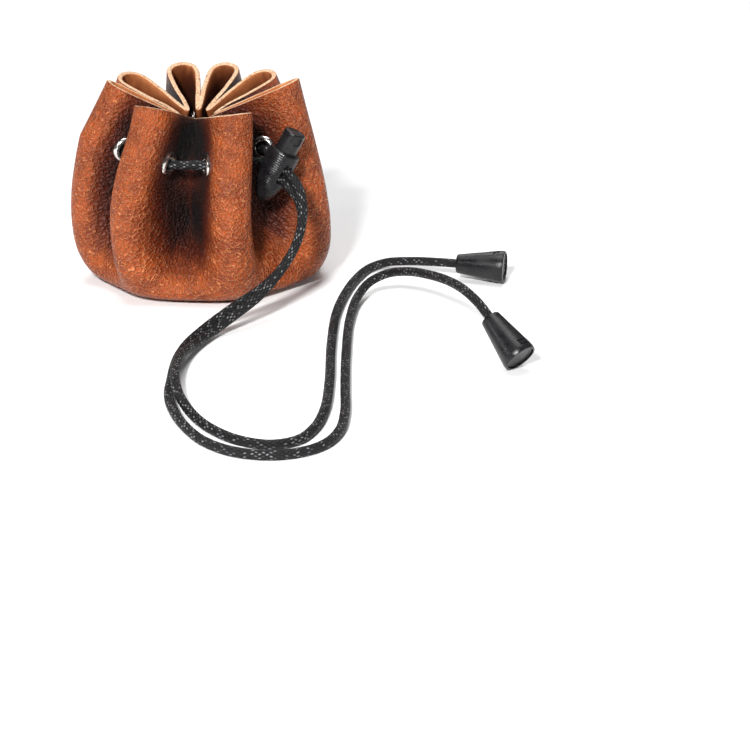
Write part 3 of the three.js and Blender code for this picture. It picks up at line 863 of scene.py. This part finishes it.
def on_layer(layer, r, c):
    """The number of a point on the outer layer, 0, or the inner layer, 1."""
    if r == 0:
        return (layer + 1) * LAYER_POINTS - 1
    return layer * LAYER_POINTS + (r - 1) * COLUMNS + c % COLUMNS


def across_rim(c):
    """The numbers of the four points across the cut edge."""
    top = len(ROWS) - 1
    middle = [2 * LAYER_POINTS + line * COLUMNS + c % COLUMNS for line in (0, 1)]
    return [on_layer(0, top, c), *middle, on_layer(1, top, c)]


def leather_faces(kept):
    """The leather's faces, and the material of each."""
    faces, kinds = [], []
    beside = ((-1, 0), (0, 1), (1, 0), (0, -1))
    for c in range(COLUMNS):
        faces.append((on_layer(0, 0, 0), on_layer(0, 1, c + 1), on_layer(0, 1, c)))
        faces.append((on_layer(1, 0, 0), on_layer(1, 1, c), on_layer(1, 1, c + 1)))
        kinds += [GRAIN, FLESH]
        for r in range(1, len(ROWS) - 1):
            if not kept[r, c]:
                continue
            square = [(r, c), (r, c + 1), (r + 1, c + 1), (r + 1, c)]
            faces.append(tuple(on_layer(0, *q) for q in square))
            faces.append(tuple(on_layer(1, *q) for q in reversed(square)))
            kinds += [GRAIN, FLESH]
            for a, b, (dr, dc) in zip(square, square[1:] + square[:1], beside):
                if r + dr < len(kept) and not kept[r + dr, (c + dc) % COLUMNS]:
                    faces.append((
                        on_layer(0, *b), on_layer(0, *a), on_layer(1, *a), on_layer(1, *b)
                    ))
                    kinds.append(CUT)
        line, after = across_rim(c), across_rim(c + 1)
        for k in range(3):
            faces.append((line[k], after[k], after[k + 1], line[k + 1]))
            kinds.append(CUT)
    return faces, kinds


def leather_bag():
    surface, inward, flat = sheet_grid()
    kept = punch_holes(surface, inward, flat)
    points, uvs, opened = leather_points(surface, inward, flat)
    faces, kinds = leather_faces(kept)
    materials = [LEATHER_FACE, SUEDE, RAW_EDGE]
    bag = make_object("bag_leather", points, faces, materials, kinds)
    work = bmesh.new()
    work.from_mesh(bag.data)
    loose = [v for v in work.verts if not v.link_faces]
    bmesh.ops.delete(work, geom=loose, context="VERTS")
    bmesh.ops.recalc_face_normals(work, faces=work.faces)
    work.to_mesh(bag.data)
    work.free()
    used = sorted({v for f in faces for v in f})
    flat_uv = np.array(uvs)[used] * MM
    layer = bag.data.uv_layers.new(name="UVMap")
    loops = np.zeros(len(bag.data.loops), np.int32)
    bag.data.loops.foreach_get("vertex_index", loops)
    layer.data.foreach_set("uv", flat_uv[loops].astype(np.float32).ravel())
    # The openness drives the painted shade in the leather and suede colours.
    shade = bag.data.attributes.new("openness", "FLOAT", "POINT")
    shade.data.foreach_set("value", np.array(opened, np.float32)[used])
    return bag


bag_leather = leather_bag()
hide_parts("leather_bag")
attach(bag_leather, "bag")

# ---- eyelets -----------------------------------------------------------------------------

EYELET_OUTLINE = [
    (2.6, -2.35), (2.62, 1.55), (2.72, 1.95), (3.0, 2.2), (3.45, 2.3), (3.95, 2.22), (4.4, 1.98),
    (4.78, 1.62), (5.0, 1.3), (4.96, 1.18), (4.5, 1.08), (3.1, 1.05), (3.1, -2.05), (3.6, -2.05),
    (3.62, -2.3), (3.3, -2.5), (2.9, -2.5),
]
WASHER_OUTLINE = [
    (3.4, -1.05), (4.5, -1.05), (4.6, -1.15), (4.6, -1.5), (4.48, -1.7), (3.6, -1.75), (3.4, -1.65),
]

for i, eyelet in enumerate(eyelets, 1):
    pose = placed(eyelet["place"], eyelet["axis"])
    for kind, outline in (("eyelet", EYELET_OUTLINE), ("eyelet_washer", WASHER_OUTLINE)):
        name = f"{kind}_{i:02d}"
        vertices, faces = lathe(outline, 40)
        piece = make_object(name + "_plated", vertices, faces, [NICKEL])
        smooth_by_angle(piece, 50)
        put(piece, pose)
        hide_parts(name)
        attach(piece, "bag")

# ---- drawstring through the eyelets --------------------------------------------------------




def beside_lock(side):
    """The cord's way out at the back of the lock, from inside it."""
    return [
        in_lock(-GAP / 2, side * CORD_SPLIT), in_lock(-6.5, side * CORD_SPLIT),
        in_lock(-9.5, side * (CORD_SPLIT + 0.6)),
    ]


ring_route = beside_lock(-1)
for i in reversed(range(16)):
    entering = 1 if i % 2 else -1
    for offset in (2.4, 0, -2.4):
        ring_route.append(eyelets[i]["place"] + eyelets[i]["axis"] * offset * entering)
ring_route += reversed(beside_lock(1))
ring_cord, _ = cord_tube("ring_cord", ring_route)
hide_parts("drawstring_ring")
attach(ring_cord, "bag")

# The stretch of each cord that shows behind the lock when it has slid out along the cords.
# It is a little thinner, so that it lies hidden in the tail's start before that.
HIDDEN_RADIUS = 1.6
for number, split, *_ in TAILS:
    stretch = [in_lock(x, split) for x in (-1, LOCK_SLIDE / 2, LOCK_SLIDE + 0.4)]
    hidden, _ = tube(f"cord_in_lock_{number}", stretch, HIDDEN_RADIUS, BRAID, 0.8, 20)
    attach(hidden, "bag")

# ---- cord lock -----------------------------------------------------------------------------

# Half the lock's outline, rounded at the tip and at the shoulder, and then its bore.
LOCK_OUTLINE = [
    (0, -14), (1.0, -13.95), (1.9, -13.6), (2.7, -12.9), (3.4, -12.0), (4.2, -10.6),
    (4.9, -9.0), (5.4, -7.4), (5.7, -5.8), (5.85, -4.0), (6.0, -2.6), (6.3, -1.4),
    (6.45, 0), (6.5, 2), (6.5, 5), (6.45, 6.8), (6.35, 7.4), (6.15, 7.8), (5.8, LOCK_TOP),
    (4.62, LOCK_TOP), (4.6, 7.6), (4.6, SPRING_SEAT + 2), (2.6, SPRING_SEAT + 2),
    (2.6, SPRING_SEAT), (0, SPRING_SEAT),
]
RIBBED = (-5.8, 6.8)
RIB_PITCH = 0.9
RIB_HEIGHT = 0.07
SLOT_ROUNDING = 1.2


def with_steps(outline, low, high, step):
    """The outline with its outer stretch between two heights cut into short steps."""
    fine = []
    for (r0, y0), (r1, y1) in zip(outline, outline[1:] + outline[:1]):
        count = math.ceil((y1 - y0) / step) if low <= y0 < y1 <= high else 1
        fine += [(mix(r0, r1, k / count), mix(y0, y1, k / count)) for k in range(count)]
    return fine


def cord_slot(top):
    """The slot that the cords run through, up to a height."""
    low = (-LOCK_WIDTH, -SLOT_HALF, -SLOT_WIDTH / 2)
    return block("slot", low, (LOCK_WIDTH, top, SLOT_WIDTH / 2), PLASTIC, SLOT_ROUNDING)


def lock_body():
    """The lock's shell, a little flattened, with ribs on its two broad sides."""
    vertices, faces = lathe(with_steps(LOCK_OUTLINE, -6, 7, 0.15), 96)
    shaped = []
    for x, y, z in vertices:
        radius = math.hypot(x, z)
        if radius > PLUNGER + GAP + 0.1:
            sideways = smoothstep(abs(z) / radius, 0.2, 0.5)
            z *= LOCK_DEPTH / LOCK_WIDTH
            if RIBBED[0] < y < RIBBED[1]:
                rib = RIB_HEIGHT * math.cos(y * 2 * math.pi / RIB_PITCH) * sideways
                x, z = x * (1 + rib / radius), z * (1 + rib / radius)
        shaped.append((x, y, z))
    body = make_object("lock_shell", shaped, faces, [PLASTIC])
    cut(body, cord_slot(SLOT_HALF))
    smooth_by_angle(body, 30)
    put(body, LOCK_POSE)
    return body


def lock_button():
    top = LOCK_TOP + BUTTON_HEIGHT
    outline = [
        (0, PLUNGER_FOOT), (PLUNGER, PLUNGER_FOOT), (PLUNGER, top - 0.7), (4.22, top - 0.35),
        (4.0, top - 0.1), (3.7, top), (3.1, top), (2.9, top - 0.25), (0, top - 0.35),
    ]
    vertices, faces = lathe(outline, 64)
    button = make_object("lock_push_button", vertices, faces, [PLASTIC])
    cut(button, cord_slot(SLOT_HALF + PLUNGER_STROKE))
    cut(button, block("recess", (3.4, top - 4.2, -1.5), (5, top - 1, 1.5), PLASTIC, 0.15))
    smooth_by_angle(button, 30)
    put(button, LOCK_POSE)
    return button


lock_shell = lock_body()
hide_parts("cord_lock_body")
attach(lock_shell, "lock")
push_button = lock_button()
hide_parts("cord_lock_plunger")
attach(push_button, "lock_button")

WIRE = 0.25
SPRING_RADIUS = 1.9
SPRING_TURNS = 3.5


def lock_spring():
    low, high = SPRING_SEAT + GAP + WIRE, PLUNGER_FOOT - GAP - WIRE
    route = []
    for t in np.linspace(0, 1, 71):
        angle = 2 * math.pi * SPRING_TURNS * t
        route.append(in_lock(
            SPRING_RADIUS * math.cos(angle), mix(low, high, t), SPRING_RADIUS * math.sin(angle)
        ))
    spring, _ = tube("lock_spring", route, WIRE, STEEL, 0.25, 10)
    return spring


spring = lock_spring()
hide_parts("cord_lock_spring")
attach(spring, "lock")
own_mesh(spring)

# ---- bells ---------------------------------------------------------------------------------

BELL_OUTLINE = [
    (2.05, 0.1), (3.2, 0.0), (3.55, 0.1), (3.78, 0.4), (3.9, 1.2), (4.3, 3.6), (4.72, 6.4),
    (5.15, 9.2), (5.6, 12.0), (6.05, 14.8), (6.35, 16.8), (6.48, 17.9), (6.45, 18.7),
    (6.3, 19.3), (6.05, 19.5), (5.5, 19.5), (5.4, 17), (3.5, 4.8), (2.05, 2.6),
]
LID_OUTLINE = [
    (0, 14.5), (4.4, 14.5), (5.0, 16.4), (5.2, 17.5), (5.2, 18.85), (5.0, 19.05), (4.5, 19.05),
    (4.3, 18.8), (0, 18.7),
]


KNOT_LOOP = 0.713
KNOT_CROSSING = 0.4125


def knot_tube(name):
    """A small overhand knot tied in the cord's end, pulled tight into a ball."""
    turns = np.linspace(0, 2 * math.pi, 60, endpoint=False)
    route = [
        (KNOT_LOOP * (math.sin(t) + 1.25 * math.sin(2 * t)),
         KNOT_PLACE + KNOT_CROSSING * math.sin(3 * t),
         KNOT_LOOP * (math.cos(t) - 1.25 * math.cos(2 * t)))
        for t in turns
    ]
    knot, _ = cord_tube(name, route, 0.5, 12)
    centre = Vector((0, KNOT_PLACE * MM, 0))
    limit = (KNOT - 0.05) * MM
    for v in knot.data.vertices:
        offset = v.co - centre
        if offset.length > limit:
            v.co = centre + offset * (limit / offset.length)
    return knot


for number, tail in tails.items():
    body = f"bell_{number}"
    vertices, faces = lathe(BELL_OUTLINE, 64)
    shell = make_object(f"bell_{number}_shell", vertices, faces, [PLASTIC])
    cut(shell, block("window", (4, 14.9, -1.7), (8, 17.3, 1.7), PLASTIC, 0.2))
    smooth_by_angle(shell, 30)
    vertices, faces = lathe(LID_OUTLINE, 64)
    lid = make_object(f"bell_{number}_lid", vertices, faces, [PLASTIC])
    smooth_by_angle(lid, 30)
    latch = block(f"bell_{number}_latch", (4.0, 15.3, -1.3), (5.95, 16.9, 1.3), PLASTIC, 0.2)
    knot = knot_tube(f"knot_{number}")
    for piece in (shell, lid, latch, knot):
        put(piece, tail["pose"])
    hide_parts(f"bell_shell_{number}")
    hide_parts(f"bell_lid_{number}")
    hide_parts(f"cord_knot_{number}")
    for piece in (shell, lid, latch):
        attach(piece, body)
    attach(knot, "bag")
    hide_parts(f"cord_tail_{number}")
    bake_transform(tail["cord"])
    tail["pieces"] = [shell, lid, latch, knot]

# ---- floor and light -------------------------------------------------------------------------

floor_shader = Shader("pale_floor")
floor_shader.surface.inputs["Base Color"].default_value = colour(0.9, 0.9, 0.9)
floor_shader.surface.inputs["Roughness"].default_value = 0.8
floor_mesh = bpy.data.meshes.new("floor")
floor_mesh.from_pydata([(-4, -4, 0), (4, -4, 0), (4, 4, 0), (-4, 4, 0)], [], [(0, 1, 2, 3)])
floor_mesh.materials.append(floor_shader.material)
floor = bpy.data.objects.new("floor", floor_mesh)
bpy.context.scene.collection.objects.link(floor)

world = bpy.data.worlds.new("studio")
bpy.context.scene.world = world
world.use_nodes = True
world.node_tree.nodes["Background"].inputs["Color"].default_value = colour(1.0, 1.0, 1.0)
world.node_tree.nodes["Background"].inputs["Strength"].default_value = 0.08


def softbox(name, place, target, size, watts):
    data = bpy.data.lights.new(name, "AREA")
    data.shape = "RECTANGLE"
    data.size, data.size_y = size
    data.energy = watts
    lamp = bpy.data.objects.new(name, data)
    lamp.location = place
    lamp.rotation_euler = (Vector(target) - Vector(place)).to_track_quat("-Z", "Y").to_euler()
    bpy.context.scene.collection.objects.link(lamp)


softbox("key", (-0.2, -1.0, 0.7), (0, 0, 0.03), (0.15, 0.15), 20)
softbox("top", (0, 0.1, 1.3), (0, 0, 0), (0.8, 0.8), 10)
softbox("left", (-0.85, -0.3, 0.3), (0, 0, 0.04), (0.08, 0.2), 1.2)
softbox("right", (0.85, -0.3, 0.4), (0.02, 0, 0.04), (0.08, 0.2), 1.2)
softbox("back", (0.1, 0.9, 0.8), (0, 0, 0.05), (0.8, 0.4), 4)

bpy.context.scene.view_settings.view_transform = "Standard"
